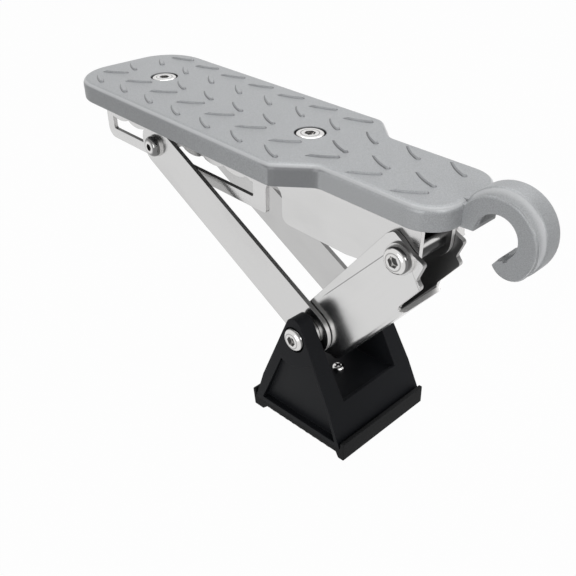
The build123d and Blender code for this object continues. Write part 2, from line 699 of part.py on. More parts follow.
pad_spot = foot_plan.offset(FLOOR).location * Location((PAD_SCREW_P, 0, 0))
pad_screw = screw(Plane(pad_spot), 2.9, 2.0, 1.5, 2.0, PAD_SCREW_R, 14.0)
pad_screw.label = "foot_pad_screw"
export_step(pad_screw, "parts/foot_pad_screw.step")


# Foot pivot: bolt, nut, washers and the sleeve inside the leg
foot_seat = across(FOOT_PIVOT, -HEAD_SEAT, -1)
foot_reach = HEAD_SEAT + NUT_SEAT + M6_NUT_H
foot_bolt = screw(foot_seat, M6_HEAD_R, M6_HEAD_H, HEAD_DOME, M6_SOCKET, M6_R, foot_reach)
foot_bolt.label = "foot_pivot_bolt"
export_step(foot_bolt, "parts/foot_pivot_bolt.step")
foot_nut = lock_nut(across(FOOT_PIVOT, NUT_SEAT, 1), M6_NUT_AF, M6_NUT_H, M6_HOLE_R)
foot_nut.label = "foot_pivot_nut"
export_step(foot_nut, "parts/foot_pivot_nut.step")
near_washer = ring(across(FOOT_PIVOT, -CHEEK_IN, 1), WASHER_R, M6_HOLE_R, FOOT_WASHER_H)
far_washer = ring(across(FOOT_PIVOT, CHEEK_IN, -1), WASHER_R, M6_HOLE_R, FOOT_WASHER_H)
foot_washers = Compound(label="foot_pivot_washers", children=[near_washer, far_washer])
export_step(foot_washers, "parts/foot_pivot_washers.step")
foot_sleeve_half = LEG_HALF - SHEET - SEAT_GAP
foot_sleeve = ring(across(FOOT_PIVOT, -foot_sleeve_half, 1), SLEEVE_R, M6_HOLE_R, 2 * foot_sleeve_half)
foot_sleeve.label = "foot_pivot_sleeve"
export_step(foot_sleeve, "parts/foot_pivot_sleeve.step")

for made in (step_plate, support_bracket, leg_channel, strut_pin, foot_block, foot_pad):
    print(made.part.label, round(made.part.volume), len(made.part.solids()))
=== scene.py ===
# %% [markdown]
# # A folding door latch step, dressed for its picture
# The frame comes from CAD and stays as it is. This lesson gives each of its pieces a material made of nodes, and adds
# the small shapes that CAD left out: threads, nylon rings, grip ribs in the hook, ribs under the pad and the round
# marks that a die leaves on a casting.

import math

import bmesh
import bpy
from mathutils import Matrix, Vector


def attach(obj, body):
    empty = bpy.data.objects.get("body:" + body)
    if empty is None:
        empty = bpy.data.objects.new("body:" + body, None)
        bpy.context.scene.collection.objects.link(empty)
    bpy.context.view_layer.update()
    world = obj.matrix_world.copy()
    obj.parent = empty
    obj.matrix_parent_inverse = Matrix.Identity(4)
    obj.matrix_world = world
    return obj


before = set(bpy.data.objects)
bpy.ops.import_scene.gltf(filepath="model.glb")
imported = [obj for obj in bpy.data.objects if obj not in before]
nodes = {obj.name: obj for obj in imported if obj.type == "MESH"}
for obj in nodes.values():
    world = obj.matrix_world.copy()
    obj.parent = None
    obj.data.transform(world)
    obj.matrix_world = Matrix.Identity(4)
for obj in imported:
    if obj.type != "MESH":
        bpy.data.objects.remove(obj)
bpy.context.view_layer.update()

# %% [markdown]
# ## The step's own places
# The pivots, faces and angles here are those of the CAD source, in metres. They could be measured from the meshes,
# but a named value says what it is, and every mask and added shape can share it. ABOUT_Y and ABOUT_Z pick the two
# axes that count in a distance from a line along Y or along Z.

# %% Places and sizes
LEG_PIVOT = Vector((-0.0298, 0, -0.0179))
FOOT_PIVOT = Vector((-0.0695, 0, -0.0695))
STRUT_PIN = Vector((-0.1712, 0, -0.0189))
SCREWS_X = (-0.18075, -0.086)
TREAD_Z = 0.0076
HOOK_START_X = -0.0125
ABOUT_Y = (1, 0, 1)
ABOUT_Z = (1, 1, 0)
FOOT_TILT = math.radians(5.1)
LEG_TURN = math.atan2(LEG_PIVOT.z - FOOT_PIVOT.z, LEG_PIVOT.x - FOOT_PIVOT.x)
STRUT_TURN = math.atan2(STRUT_PIN.z - FOOT_PIVOT.z, STRUT_PIN.x - FOOT_PIVOT.x)
print("leg", round(math.degrees(LEG_TURN), 1), "strut", round(math.degrees(STRUT_TURN), 1))

# %% [markdown]
# ## A small kit for shader maths
# Masks are sums and products of distances. They could be wired by hand, one Math node at a time, but ten nodes hide
# what one line of arithmetic says. So a Num wraps a socket, and an expression such as `1 - mask * 0.3` adds its own
# nodes.


# %% Numbers as nodes
class Num:
    def __init__(self, look, socket):
        self.look = look
        self.socket = socket

    def combine(self, operation, first, second):
        made = self.look.node("Math", {"operation": operation}, {0: first, 1: second})
        return Num(self.look, made.outputs[0])

    def __add__(self, other):
        return self.combine("ADD", self, other)

    def __radd__(self, other):
        return self.combine("ADD", other, self)

    def __sub__(self, other):
        return self.combine("SUBTRACT", self, other)

    def __rsub__(self, other):
        return self.combine("SUBTRACT", other, self)

    def __mul__(self, other):
        return self.combine("MULTIPLY", self, other)

    def __rmul__(self, other):
        return self.combine("MULTIPLY", other, self)

    def __abs__(self):
        return self.combine("ABSOLUTE", self, 0.0)

    def least(self, other):
        return self.combine("MINIMUM", self, other)

    def most(self, other):
        return self.combine("MAXIMUM", self, other)

    def rise(self, low, high):
        """0 below low, 1 above high and a soft step between. With low above high it falls instead."""
        made = self.look.node("MapRange", {"interpolation_type": "SMOOTHSTEP"}, {0: self, 1: low, 2: high})
        return Num(self.look, made.outputs[0])


print("numbers ready")

# %% [markdown]
# ## One Look for each finish
# A Look holds the node tree of one material. Its node method makes any node from a type, its settings and its
# inputs, and the others are the few patterns that all the finishes share. They read the piece's own coordinates,
# not the picture's or the world's, so nothing slides when the step folds.


# %% Look
class Look:
    def __init__(self, name):
        self.material = bpy.data.materials.new(name)
        self.material.use_nodes = True
        self.tree = self.material.node_tree
        self.shader = self.tree.nodes["Principled BSDF"]

    def node(self, kind, settings=None, inputs=None):
        made = self.tree.nodes.new("ShaderNode" + kind)
        for key, value in (settings or {}).items():
            setattr(made, key, value)
        for key, value in (inputs or {}).items():
            self.plug(made.inputs[key], value)
        return made

    def plug(self, socket, value):
        if isinstance(value, Num):
            value = value.socket
        if isinstance(value, bpy.types.NodeSocket):
            self.tree.links.new(value, socket)
        else:
            socket.default_value = value

    def place(self, turn=0.0, scale=(1, 1, 1)):
        """Object coordinates, turned about Y so that X runs along a slanted piece, then scaled."""
        here = self.node("TexCoord").outputs["Object"]
        turned = self.node("Mapping", {}, {"Vector": here, "Rotation": (0, turn, 0)})
        return self.node("Mapping", {}, {"Vector": turned.outputs[0], "Scale": scale}).outputs[0]

    def parts(self, vector):
        """The X, Y and Z of a vector, each as a Num."""
        split = self.node("SeparateXYZ", {}, {0: vector})
        return [Num(self, output) for output in split.outputs]

    def facing(self):
        """The X, Y and Z of the way a face looks, in the piece's own directions."""
        return self.parts(self.node("TexCoord").outputs["Normal"])

    def off_axis(self, centre, keep):
        """Distance from an axis: the length of what is left of the way from centre, along the axes in keep."""
        way = self.node("VectorMath", {"operation": "SUBTRACT"}, {0: self.place(), 1: centre})
        flat = self.node("VectorMath", {"operation": "MULTIPLY"}, {0: way.outputs[0], 1: keep})
        length = self.node("VectorMath", {"operation": "LENGTH"}, {0: flat.outputs[0]})
        return Num(self, length.outputs["Value"])

    def noise(self, where, scale, detail=3.0, roughness=0.5):
        made = self.node("TexNoise", {}, {"Vector": where, "Scale": scale, "Detail": detail, "Roughness": roughness})
        return Num(self, made.outputs["Fac"])

    def mix(self, factor, first, second):
        made = self.node("Mix", {"data_type": "RGBA"}, {"Factor": factor, 6: first, 7: second})
        return made.outputs[2]

    def bump(self, height, distance, strength=1.0, below=None):
        inputs = {"Height": height, "Distance": distance, "Strength": strength}
        if below is not None:
            inputs["Normal"] = below
        return self.node("Bump", {}, inputs).outputs[0]

    def finish(self, **values):
        for key, value in values.items():
            self.plug(self.shader.inputs[key.replace("_", " ")], value)
        return self.material


def grey(level, warm=0.0):
    return (level * (1 + warm), level, level * (1 - warm), 1.0)


print("looks ready")

# %% [markdown]
# ## Painted shade and light along the casting
# A face that turns away from the light looks darker: the slanted face of the waist, and the long sides towards the
# rear. The front of the sides looks a little paler. Lamps alone gave the sides one even tone, so painted shade and
# painted light, masked by place and direction, make the rest. Each pair of numbers says where a mask is 0 and
# where it is full.

# %% Painted side shade and light
# Colours of the painted shade and the painted light on the paint.
PAINTED_SHADE = (0.15, 0.154, 0.160, 1)
PAINTED_LIGHT = (0.66, 0.67, 0.68, 1)
WAIST_FROM = (-0.0820, -0.0755)
WAIST_TO = (-0.0560, -0.0630)
SIDE_TOP_Z = (TREAD_Z, 0.0070)
REAR_SIDE = (-0.090, -0.150)
FRONT_SIDE_FROM = (-0.066, -0.058)
FRONT_SIDE_TO = (-0.012, -0.030)


def painted_side_shade_and_light(look, colour):
    x, _, z = look.parts(look.place())
    _, side, up = look.facing()
    # Painted shade on the waist's slanted face and the rear of the sides, painted light on the front of the sides.
    waist = x.rise(*WAIST_FROM) * x.rise(*WAIST_TO)
    slanted = abs(up).rise(0.75, 0.35) * abs(side).rise(0.985, 0.93)
    colour = look.mix(waist * slanted * 0.8, colour, PAINTED_SHADE)
    flank = abs(side).rise(0.85, 0.95) * z.rise(*SIDE_TOP_Z)
    colour = look.mix(flank * x.rise(*REAR_SIDE) * 0.32, colour, PAINTED_SHADE)
    front_flank = flank * x.rise(*FRONT_SIDE_FROM) * x.rise(*FRONT_SIDE_TO)
    return look.mix(front_flank * 0.18, colour, PAINTED_LIGHT)


print("waist from", WAIST_FROM[0], "to", WAIST_TO[0])

# %% [markdown]
# ## Painted shade at the bars and screw seats
# Painted shade at the foot of each raised bar draws the bars' outlines. The row whose flanks turn from the light
# gets the most of it. The walls of the two screw seats get painted deep shade. Both could be left to the lamps, but
# the bars are less than a millimetre high, and soft light alone loses them.

# %% Painted shade at bars and seats
BAR_FOOT_FROM_Z = (0.00761, 0.00768)
BAR_FOOT_TO_Z = (0.00812, 0.00785)
BAR_FOOT_SHADE = (0.095, 0.098, 0.102, 1)
BAR_OUTLINE_FROM_X = (HOOK_START_X, -0.0150)
SEAT_R = 0.0066
SEAT_TOP_Z = (0.0074, 0.0070)
SEAT_SHADE = (0.02, 0.021, 0.022, 1)


def painted_bar_and_seat_shade(look, colour):
    x, _, z = look.parts(look.place())
    across, side, _ = look.facing()
    # Painted shade at the foot of each bar, strongest on the row whose flanks turn from the light.
    bar_foot_shade = z.rise(*BAR_FOOT_FROM_Z) * z.rise(*BAR_FOOT_TO_Z) * x.rise(*BAR_OUTLINE_FROM_X)
    steep_row = (across * side).rise(-0.25, 0.25)
    colour = look.mix(bar_foot_shade * (0.26 + steep_row * 0.52), colour, BAR_FOOT_SHADE)
    for screw_x in SCREWS_X:
        # Painted deep shade on the wall of each screw seat.
        seat_shade = look.off_axis((screw_x, 0, 0), ABOUT_Z).rise(SEAT_R + 0.0003, SEAT_R) * z.rise(*SEAT_TOP_Z)
        colour = look.mix(seat_shade * 0.9, colour, SEAT_SHADE)
    return colour


print("outlines from", BAR_FOOT_FROM_Z[0], "to", BAR_FOOT_TO_Z[0], "high")

# %% [markdown]
# ## Painted highlights on edges
# The rounded edges of the casting get a painted highlight and a lower roughness, so they look paler and shine more:
# the rim of the plate, and the shoulder of the hook towards its outer rim. A mask on curvature would depend on how
# dense a mesh is, but these edges are known by the way they face.

# %% Painted edge highlights
RIM_FROM_Z = (0.0030, 0.0048)
RIM_TO_Z = (0.00762, 0.00755)
SHOULDER_FROM_X = (HOOK_START_X, -0.0100)
HOOK_BAND = (0.0006, 0, 0.00055)
HOOK_RIM_R = (0.0130, 0.0145)


def painted_edge_highlights(look):
    x, _, z = look.parts(look.place())
    _, side, up = look.facing()
    # Where the painted highlight goes: the plate's rim, and the hook's shoulder, brightest towards its outer rim.
    plate_edge = up.rise(0.40, 0.62) * up.rise(0.94, 0.80) * z.rise(*RIM_FROM_Z) * z.rise(*RIM_TO_Z)
    hook_edge = abs(side).rise(0.50, 0.75) * abs(side).rise(0.93, 0.86) * x.rise(*SHOULDER_FROM_X)
    towards_rim = look.off_axis(HOOK_BAND, ABOUT_Y).rise(*HOOK_RIM_R)
    return plate_edge.most(hook_edge * (0.20 + towards_rim * 1.10))


print("hook rim rubbed from radius", HOOK_RIM_R[0])

# %% [markdown]
# ## The whole paint
# Cast aluminium gets a satin silver paint. It could be a metal in the shader, but real silver paint is small flakes
# in a clear binder and mirrors little, so it is nearly all paint. Two noises vary its colour, fine flakes and slow
# clouds, and the casting under it shows as a soft grain on slow waves.

# %% Silver paint
FLAKE_LOW = (0.300, 0.308, 0.317, 1)
FLAKE_HIGH = (0.410, 0.420, 0.432, 1)
CLOUD = (0.28, 0.29, 0.30, 1)


def silver_paint():
    look = Look("silver paint")
    here = look.place()
    flakes = look.noise(here, 2600.0, 2.0, 0.6)
    colour = look.mix(flakes.rise(0.3, 0.7), FLAKE_LOW, FLAKE_HIGH)
    colour = look.mix(look.noise(here, 22.0) * 0.14, colour, CLOUD)
    # Painted shade and light on the sides, and painted shade at the bars and screw seats.
    colour = painted_bar_and_seat_shade(look, painted_side_shade_and_light(look, colour))
    # Painted highlight on the rounded edges, which also get a lower roughness.
    highlighted = painted_edge_highlights(look)
    colour = look.mix(highlighted * 0.55, colour, PAINTED_LIGHT)
    grain = look.bump(look.noise(here, 900.0, 4.0, 0.6), 0.00008, 0.5)
    waves = look.bump(look.noise(here, 70.0, 2.0), 0.0004, 0.25, grain)
    rough = 0.38 + flakes * 0.08 - highlighted * 0.10
    return look.finish(Base_Color=colour, Metallic=0.12, Roughness=rough, Normal=waves)


PAINT = silver_paint()
print(PAINT.name, len(PAINT.node_tree.nodes), "nodes")

# %% [markdown]
# ## Stainless sheet
# The sheet is polished. What is left of the rolling shows as very fine lines along each piece, so every piece turns
# the same pattern to its own direction. Anisotropic gloss could draw the lines too, but a stretched noise is simpler
# and turns with the piece. A face that looks along Y is a broad side, and the others are cut edges or webs. Cut
# edges are duller. Where they look up at the plate they get painted shade, and elsewhere they are bright. Every
# rounded edge gets a thin painted dark reflection line.

# %% Stainless sheet
BRIGHT_CUT = grey(0.74, 0.01)
PAINTED_EDGE_REFLECTION = grey(0.045)
PRESS_LINE = grey(0.14)
INSIDE_SHADE = grey(0.18)


def stainless(name, turn, edges=None, inside=None, mark=None, shade=None, level=0.66, cut_shade_level=0.11):
    look = Look(name)
    lines = look.noise(look.place(turn, (12.0, 900.0, 900.0)), 3.0, 4.0, 0.65)
    smears = look.noise(look.place(turn, (1.0, 2.0, 2.0)), 26.0)
    colour = look.mix(lines * 0.35, grey(level, 0.004), grey(level * 0.88, 0.006))
    colour = look.mix(smears.rise(0.45, 0.75) * 0.5, colour, grey(level * 0.86, 0.004))
    _, side, up = look.facing()
    cut = abs(side).rise(0.45, 0.25)
    rounded = abs(side).rise(0.30, 0.55) * abs(side).rise(0.995, 0.94)
    if edges is not None:
        there = edges(look, up)
        cut = cut * there
        rounded = rounded * there
    # Painted shade on cut edges that look up at the plate.
    dark = up.rise(0.45, 0.78) if shade is None else shade(look, up)
    cut_colour = look.mix(dark, BRIGHT_CUT, grey(cut_shade_level, 0.01))
    colour = look.mix(cut * 0.92, colour, cut_colour)
    # Painted dark reflection along rounded edges.
    colour = look.mix(rounded * 0.9, colour, PAINTED_EDGE_REFLECTION)
    if mark is not None:
        colour = look.mix(mark(look) * 0.7, colour, PRESS_LINE)
    rough = 0.15 + lines * 0.05 + smears * 0.07 + cut * 0.30
    # Painted shade inside a channel.
    if inside is not None:
        depth = inside(look)
        colour = look.mix(depth, colour, INSIDE_SHADE)
        rough = rough + depth * 0.2
    relief = look.bump(lines, 0.000015, 0.3)
    return look.finish(Base_Color=colour, Metallic=1.0, Roughness=rough, Normal=relief)


STRUT_STEEL = stainless("stainless strut", STRUT_TURN, level=0.64, cut_shade_level=0.10)
# The far strut is a darker copy of the strut steel: painted shade.
FAR_STEEL_IN_SHADE = stainless("far stainless strut", STRUT_TURN, level=0.54, cut_shade_level=0.10)
# Washers get the darkest painted shade on cut edges that look up.
WASHER_STEEL = stainless("washer steel", 0.0, level=0.62, cut_shade_level=0.07)
print(STRUT_STEEL.name, len(STRUT_STEEL.node_tree.nodes), "nodes")

# %% [markdown]
# ## The leg's own masks
# The leg is a folded channel. Its cut edges are those short of the bend and whatever looks up, and painted shade
# darkens them nearer the plate. Hardly any light arrives between its sides, so painted shade darkens the steel there.
# Each side also has a faint line, not quite in line with the edge, as a press leaves it. A groove would be too
# much for it, so it is in the colour alone.

# %% Leg steel
LEG_BEND = (0.0135, 0.0130)
LEG_INSIDE_Y = (0.01052, 0.01042)
LEG_INSIDE_WEB = (0.01445, 0.01425)
MOUTH_SHADE_Z = (-0.030, -0.023)
PRESS_LINE_OFF = 0.0088
PRESS_LINE_SLOPE = 0.074
PRESS_LINE_HALF = (0.00026, 0.00010)
PRESS_LINE_FROM = (0.016, 0.022)
PRESS_LINE_TO = (0.0605, 0.0590)


def leg_across(look):
    """How far a point of the leg lies from the line of its two pivots, towards the web."""
    line = LEG_PIVOT.z * math.cos(LEG_TURN) - LEG_PIVOT.x * math.sin(LEG_TURN)
    return line - look.parts(look.place(LEG_TURN))[2]


def leg_edges(look, up):
    return leg_across(look).rise(*LEG_BEND).most(up.rise(0.3, 0.6))


def leg_shade(look, up):
    return look.parts(look.place())[2].rise(*MOUTH_SHADE_Z) * (0.58 + up.rise(0.25, 0.60) * 0.42)


def leg_inside(look):
    between = abs(look.parts(look.place())[1]).rise(*LEG_INSIDE_Y)
    return between * leg_across(look).rise(*LEG_INSIDE_WEB)


def leg_mark(look):
    start = FOOT_PIVOT.x * math.cos(LEG_TURN) + FOOT_PIVOT.z * math.sin(LEG_TURN)
    along = look.parts(look.place(LEG_TURN))[0] - start
    off = abs(leg_across(look) + PRESS_LINE_OFF - along * PRESS_LINE_SLOPE)
    return off.rise(*PRESS_LINE_HALF) * along.rise(*PRESS_LINE_FROM) * along.rise(*PRESS_LINE_TO)


LEG_STEEL = stainless("stainless leg", LEG_TURN, leg_edges, leg_inside, leg_mark, leg_shade, 0.68)
print(LEG_STEEL.name, len(LEG_STEEL.node_tree.nodes), "nodes")

# %% [markdown]
# ## The bracket's own masks
# The bracket is a channel under the plate. Only the edges below its bend are cut ones. Its inside gets painted shade,
# darker towards the hook, where the leg closes it off. Polished steel mirrors the white studio even in there, so a
# mask takes over from the lamps.

# %% Bracket steel
BRACKET_BEND_Z = (-0.0042, -0.0046)
BRACKET_INSIDE_Y = (0.00832, 0.00822)
BRACKET_DEPTH_X = (-0.055, -0.034)


def bracket_edges(look, _):
    return look.parts(look.place())[2].rise(*BRACKET_BEND_Z)


def bracket_inside(look):
    x, y, _ = look.parts(look.place())
    return abs(y).rise(*BRACKET_INSIDE_Y) * (x.rise(*BRACKET_DEPTH_X) * 0.8 + 0.2)


BRACKET_STEEL = stainless("stainless bracket", 0.0, bracket_edges, bracket_inside)
print(BRACKET_STEEL.name, len(BRACKET_STEEL.node_tree.nodes), "nodes")

# %% [markdown]
# ## Plated screws and nuts
# Screws, pins, nuts and sleeves are bright plated steel with faint turning marks. A button head gets painted shade
# in its socket and on its rim, and a thin painted dark reflection ring across its top. CAD models the socket, but
# bright steel mirrors the white studio even in a hole, so rings about the screw's own axis paint the shade.

# %% Plated steel
M6_HEAD_R = 0.00525
M5_HEAD_R = 0.00475
DECK_HEAD_R = 0.0058
M6_SOCKET_R = 0.0018
M5_SOCKET_R = 0.0015
# Widths of the painted shade on a head's rim; the strut pin's is broad.
RIM_WIDTH = 0.0006
PIN_RIM_WIDTH = 0.0021
REFLECTION_RING_AT = 0.62
REFLECTION_RING_WIDTH = (0.00036, 0.00012)


def bright_steel(look, level=0.72):
    """The turning marks of plated steel, and its colour."""
    turning = look.noise(look.place(), 420.0)
    return turning, look.mix(turning * 0.4, grey(level, 0.01), grey(0.56, 0.015))


def plated_steel(name, centre=None, keep=ABOUT_Y, rim=M6_HEAD_R, socket=M6_SOCKET_R, rim_width=RIM_WIDTH):
    look = Look(name)
    turning, colour = bright_steel(look)
    if centre is not None:
        out = look.off_axis(centre, keep)
        # Painted shade in the socket and on the rim, and a painted dark reflection ring across the head.
        socket_shade = out.rise(socket + 0.0003, socket - 0.0001)
        turned = abs(out - REFLECTION_RING_AT * rim).rise(*REFLECTION_RING_WIDTH)
        rim_shade = out.rise(rim - rim_width, rim - 0.6 * rim_width)
        colour = look.mix((turned * 0.5).most(rim_shade * 0.85), colour, grey(0.08))
        colour = look.mix(socket_shade * 0.92, colour, grey(0.035))
    relief = look.bump(turning, 0.00003, 0.3)
    return look.finish(Base_Color=colour, Metallic=1.0, Roughness=0.12 + turning * 0.08, Normal=relief)


STEEL = plated_steel("plated steel")
print(STEEL.name, len(STEEL.node_tree.nodes), "nodes")

# %% [markdown]
# ## The pad's screw and the leg's sleeve
# The pad is held by a small pan head with a cross recess: four arms of painted shade about a point that is tilted
# with the foot. The head is only a few millimetres wide, so the cross is drawn rather than cut. The sleeve between
# the sides of the leg lies in painted shade and has one painted highlight band, where light comes in.

# %% Cross recess and sleeve
PAD_SCREW_AHEAD = 0.0014
ARM_HALF = (0.00060, 0.00038)
ARM_REACH = (0.0022, 0.0019)


def turned_place(point, turn):
    """A point in the coordinates that place() gives when it turns them."""
    x = point.x * math.cos(turn) + point.z * math.sin(turn)
    return (x, point.y, point.z * math.cos(turn) - point.x * math.sin(turn))


def cross_screw(name, centre, turn):
    look = Look(name)
    turning, colour = bright_steel(look)
    way = look.node("VectorMath", {"operation": "SUBTRACT"}, {0: look.place(turn), 1: centre})
    along, side, _ = look.parts(way.outputs[0])
    arms = abs(along).least(abs(side)).rise(*ARM_HALF) * abs(along).most(abs(side)).rise(*ARM_REACH)
    # Painted shade in the cross recess.
    colour = look.mix(arms * 0.95, colour, grey(0.02))
    relief = look.bump(turning, 0.00003, 0.3)
    return look.finish(Base_Color=colour, Metallic=1.0, Roughness=0.14 + turning * 0.08, Normal=relief)


def shaded_sleeve():
    look = Look("sleeve steel")
    turning, lit = bright_steel(look, 0.68)
    up = look.facing()[2]
    # Painted highlight band on a sleeve in painted shade.
    highlight_band = up.rise(0.46, 0.62) * up.rise(0.96, 0.86)
    colour = look.mix(highlight_band, grey(0.05), lit)
    return look.finish(Base_Color=colour, Metallic=1.0, Roughness=0.16 + turning * 0.08)


PAD_SCREW = FOOT_PIVOT + PAD_SCREW_AHEAD * Vector((math.cos(FOOT_TILT), 0, math.sin(FOOT_TILT)))
PAD_SCREW_STEEL = cross_screw("pad screw", turned_place(PAD_SCREW, FOOT_TILT), FOOT_TILT)
SLEEVE_STEEL = shaded_sleeve()
print("pad screw at", tuple(round(v, 4) for v in PAD_SCREW))

# %% [markdown]
# ## Plastic, rubber and nylon
# The foot is a satin black moulding, and the pad a duller rubber with a slightly greyer bloom. The nylon rings of the
# lock nuts are pale. One flat black would look like a hole in the picture, so slow noise varies the tone and the
# gloss, and fine noise gives the grain that a mould leaves.


# %% Black plastic, rubber and nylon
def black_plastic():
    look = Look("black plastic")
    fine = look.noise(look.place(), 1500.0, 3.0, 0.6)
    flow = look.noise(look.place(0.0, (1, 1, 0.4)), 45.0)
    colour = look.mix(flow, (0.0060, 0.0066, 0.0080, 1), (0.0095, 0.0102, 0.0120, 1))
    relief = look.bump(fine, 0.00005, 0.45)
    return look.finish(Base_Color=colour, Roughness=0.40 + flow * 0.10, Normal=relief, Specular_IOR_Level=0.09)


def black_rubber():
    look = Look("black rubber")
    fine = look.noise(look.place(), 1900.0, 4.0, 0.7)
    bloom = look.noise(look.place(), 60.0, 4.0)
    colour = look.mix(bloom, (0.0075, 0.0078, 0.0082, 1), (0.0135, 0.0138, 0.0145, 1))
    relief = look.bump(fine, 0.00009, 0.55)
    return look.finish(Base_Color=colour, Roughness=0.56 + bloom * 0.14, Normal=relief, Specular_IOR_Level=0.09)


def pale_nylon():
    look = Look("pale nylon")
    mottle = look.noise(look.place(), 300.0)
    colour = look.mix(mottle, (0.52, 0.53, 0.50, 1), (0.66, 0.66, 0.62, 1))
    return look.finish(Base_Color=colour, Roughness=0.5 + mottle * 0.08, Normal=look.bump(mottle, 0.00003, 0.3))


PLASTIC = black_plastic()
RUBBER = black_rubber()
NYLON = pale_nylon()
print("materials", len(bpy.data.materials))

# %% [markdown]
# ## Dress the CAD pieces
# Each node keeps its mesh and only gets its material. A head with a socket has one of its own, centred on its axis,
# and what isn't listed is plain plated steel. The strut pin's small head has a broad rim of painted shade.

# %% Dress
worn_by = {
    "step_plate": PAINT,
    "support_bracket": BRACKET_STEEL,
    "leg_channel": LEG_STEEL,
    "near_strut": STRUT_STEEL,
    "far_strut": FAR_STEEL_IN_SHADE,
    "foot_block": PLASTIC,
    "foot_pad": RUBBER,
    "rear_bracket_screw": plated_steel("rear deck screw", (SCREWS_X[0], 0, 0), ABOUT_Z, DECK_HEAD_R),
    "front_bracket_screw": plated_steel("front deck screw", (SCREWS_X[1], 0, 0), ABOUT_Z, DECK_HEAD_R),
    "leg_pivot_bolt": plated_steel("leg bolt", LEG_PIVOT),
    "foot_pivot_bolt": plated_steel("foot bolt", FOOT_PIVOT),
    "strut_pin": plated_steel("strut pin", STRUT_PIN, ABOUT_Y, M5_HEAD_R, M5_SOCKET_R, PIN_RIM_WIDTH),
    "foot_pad_screw": PAD_SCREW_STEEL,
    "leg_pivot_sleeve": SLEEVE_STEEL,
    "leg_pivot_washers": WASHER_STEEL,
    "foot_pivot_washers": WASHER_STEEL,
    "strut_pin_washers": WASHER_STEEL,
}
for name, node in nodes.items():
    node.data.materials.clear()
    node.data.materials.append(worn_by.get(name, STEEL))
print("dressed", len(nodes))

# %% [markdown]
# ## Soft edges
# No real edge is perfectly sharp, and a thin bright line along an edge is what makes metal and moulded plastic look
# real. Rounding in CAD would add thousands of small faces, so a stack of modifiers does it and leaves the CAD mesh
# alone: Weld joins the loose triangles, Decimate merges the flat ones, Bevel rounds the sharp edges, and Weighted
# Normal keeps the flat faces flat to the light.

# %% Soft edges
SHARPER_THAN = math.radians(50)
SHEET_EDGE = 0.00035
BLOCK_EDGE = 0.0004
PAD_EDGE = 0.0005
SOFT_EDGES = {
    "near_strut": SHEET_EDGE,
    "far_strut": SHEET_EDGE,
    "leg_channel": SHEET_EDGE,
    "support_bracket": SHEET_EDGE,
    "foot_block": BLOCK_EDGE,
    "foot_pad": PAD_EDGE,
}


def soften(node, width):
    weld = node.modifiers.new("join triangles", "WELD")
    weld.merge_threshold = 1e-6
    flat = node.modifiers.new("merge flats", "DECIMATE")
    flat.decimate_type = "DISSOLVE"
    flat.angle_limit = math.radians(0.4)
    rounded = node.modifiers.new("round edges", "BEVEL")
    rounded.width = width
    rounded.segments = 2
    rounded.limit_method = "ANGLE"
    rounded.angle_limit = SHARPER_THAN
    rounded.use_clamp_overlap = True
    evened = node.modifiers.new("even light", "WEIGHTED_NORMAL")
    evened.keep_sharp = False


for name, width in SOFT_EDGES.items():
    soften(nodes[name], width)
print("softened", len(SOFT_EDGES))

# %% [markdown]
# ## A kit for Geometry Nodes
# What repeats or follows a path is described by a rule rather than placed by hand. A Rule is one tree. Its size
# method adds a named input, make ends the tree in Realize Instances and Set Material, and the result becomes a plain
# mesh at once, so that nothing live is left on a piece.


# %% Rule
class Rule:
    def __init__(self, name):
        self.group = bpy.data.node_groups.new(name, "GeometryNodeTree")
        self.group.interface.new_socket("Geometry", in_out="OUTPUT", socket_type="NodeSocketGeometry")
        self.values = {}
        self.start = self.group.nodes.new("NodeGroupInput")
        self.end = self.group.nodes.new("NodeGroupOutput")

    def size(self, name, value, kind="NodeSocketFloat"):
        self.group.interface.new_socket(name, in_out="INPUT", socket_type=kind)
        self.values[name] = value
        return self.start.outputs[name]

    def node(self, kind, settings=None, inputs=None):
        made = self.group.nodes.new(kind)
        for key, value in (settings or {}).items():
            setattr(made, key, value)
        for key, value in (inputs or {}).items():
            if isinstance(value, bpy.types.NodeSocket):
                self.group.links.new(value, made.inputs[key])
            else:
                made.inputs[key].default_value = value
        return made

    def maths(self, operation, *numbers):
        made = self.node("ShaderNodeMath", {"operation": operation}, dict(enumerate(numbers)))
        return made.outputs[0]

    def vector(self, x=0.0, y=0.0, z=0.0):
        return self.node("ShaderNodeCombineXYZ", {}, {0: x, 1: y, 2: z}).outputs[0]

    def swept(self, path, profile, caps=False):
        links = {"Curve": path.outputs[0], "Profile Curve": profile.outputs[0], "Fill Caps": caps}
        return self.node("GeometryNodeCurveToMesh", {}, links).outputs[0]

    def repeated(self, points, shape):
        links = {"Points": points.outputs[0], "Instance": shape.outputs[0]}
        return self.node("GeometryNodeInstanceOnPoints", {}, links).outputs[0]

    def make(self, name, geometry, material):
        real = self.node("GeometryNodeRealizeInstances", {}, {0: geometry})
        dressed = self.node("GeometryNodeSetMaterial", {}, {"Geometry": real.outputs[0], "Material": material})
        self.group.links.new(dressed.outputs[0], self.end.inputs[0])
        holder = bpy.data.objects.new(name + " rule", bpy.data.meshes.new(name + " rule"))
        bpy.context.scene.collection.objects.link(holder)
        live = holder.modifiers.new("rule", "NODES")
        live.node_group = self.group
        for item in self.group.interface.items_tree:
            if item.in_out == "INPUT":
                live[item.identifier] = self.values[item.name]
        ready = holder.evaluated_get(bpy.context.evaluated_depsgraph_get())
        mesh = bpy.data.meshes.new_from_object(ready)
        bpy.data.objects.remove(holder)
        made = bpy.data.objects.new(name, mesh)
        bpy.context.scene.collection.objects.link(made)
        return made


print("rules ready")

# %% [markdown]
# ## Put a shape in its place
# Shapes are drawn at the origin, where their numbers are simple, and then moved with their points, so that every
# finished piece has its own origin at the frame's, as the CAD nodes do.


